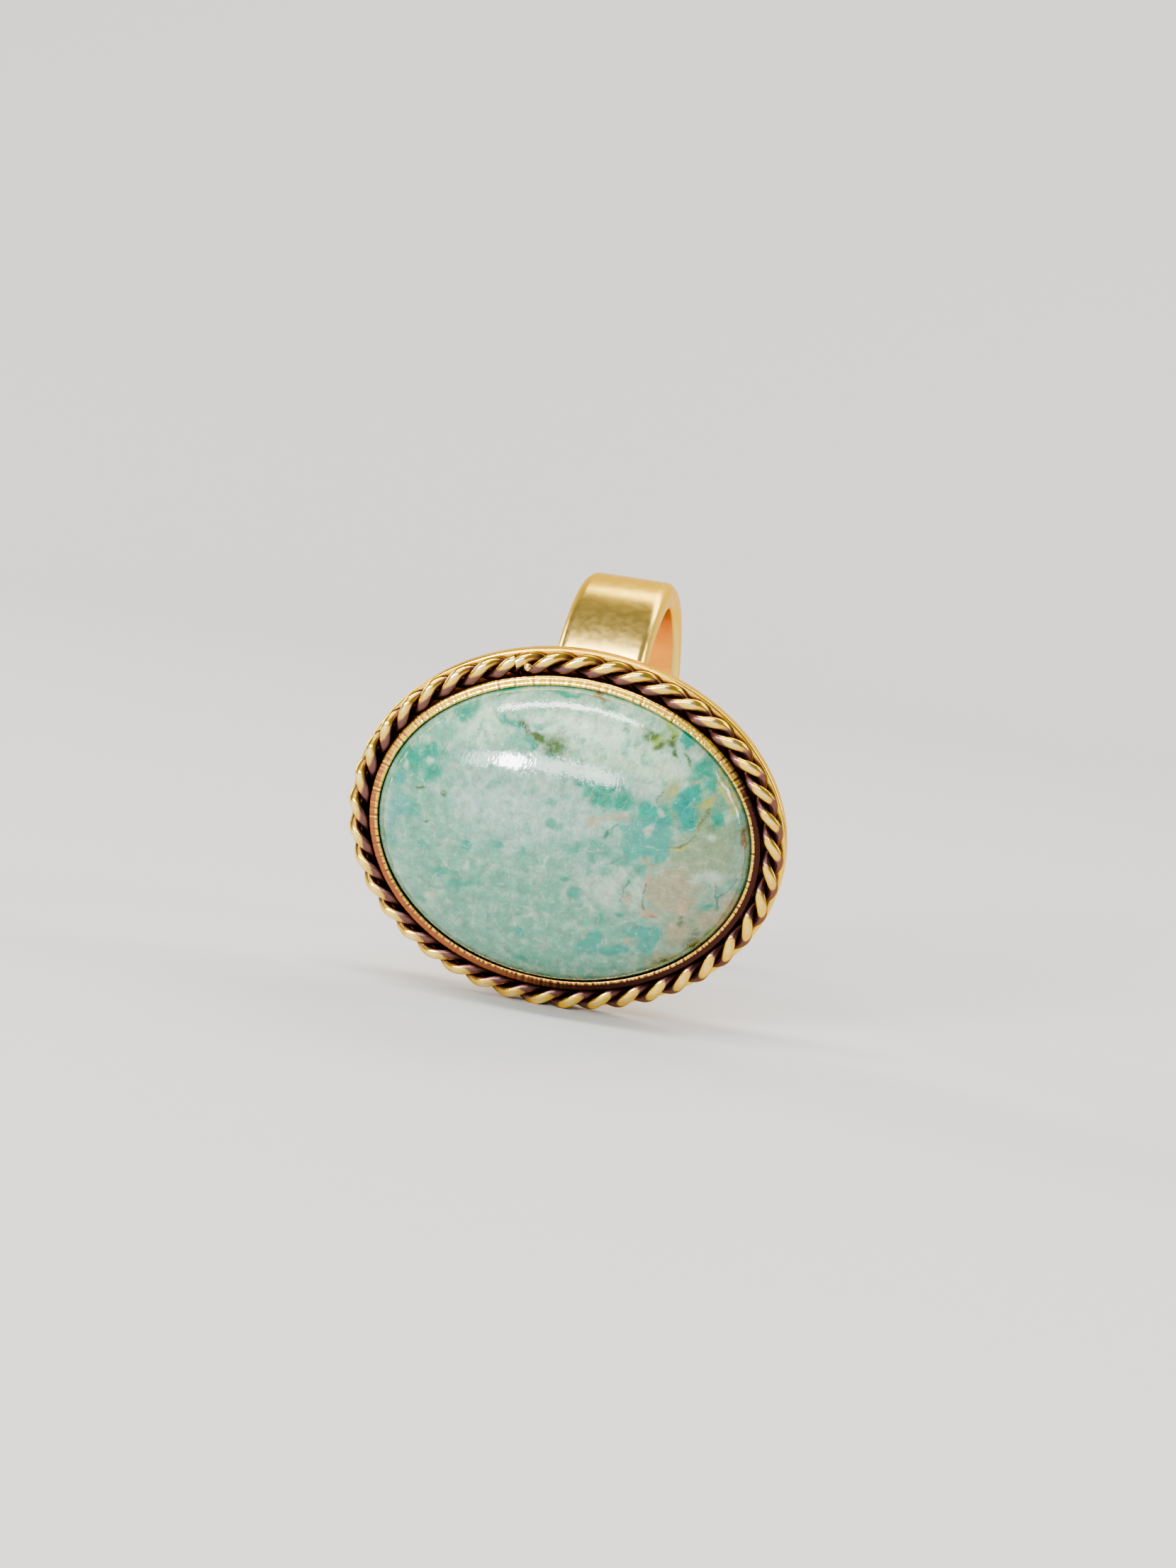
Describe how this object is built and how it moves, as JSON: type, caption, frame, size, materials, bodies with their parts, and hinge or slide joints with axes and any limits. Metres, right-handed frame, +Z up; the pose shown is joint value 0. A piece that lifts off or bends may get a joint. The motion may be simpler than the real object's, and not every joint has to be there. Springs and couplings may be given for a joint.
{
  "type": "turquoise cabochon ring",
  "caption": "Finger ring: oval domed turquoise in a thin brass bezel with a twisted wire border, on a flat oval plate soldered to a plain band.",
  "frame": {"origin": "on the table the ring lies on, under the middle of its box", "axes": "+X along the finger hole and the stone's long axis; the stone faces -Y and a little down; +Z up"},
  "size_m": [0.0208, 0.0252, 0.0206],
  "materials": {
    "turquoise": "polished",
    "brass": "polished",
    "wire_brass": "polished crests, darkened grooves"
  },
  "bodies": {
    "root": {"stone": "turquoise", "bezel": "brass", "wire_1": "wire_brass", "wire_2": "wire_brass", "base_plate": "brass", "shank": "brass"}
  },
  "joints": []
}
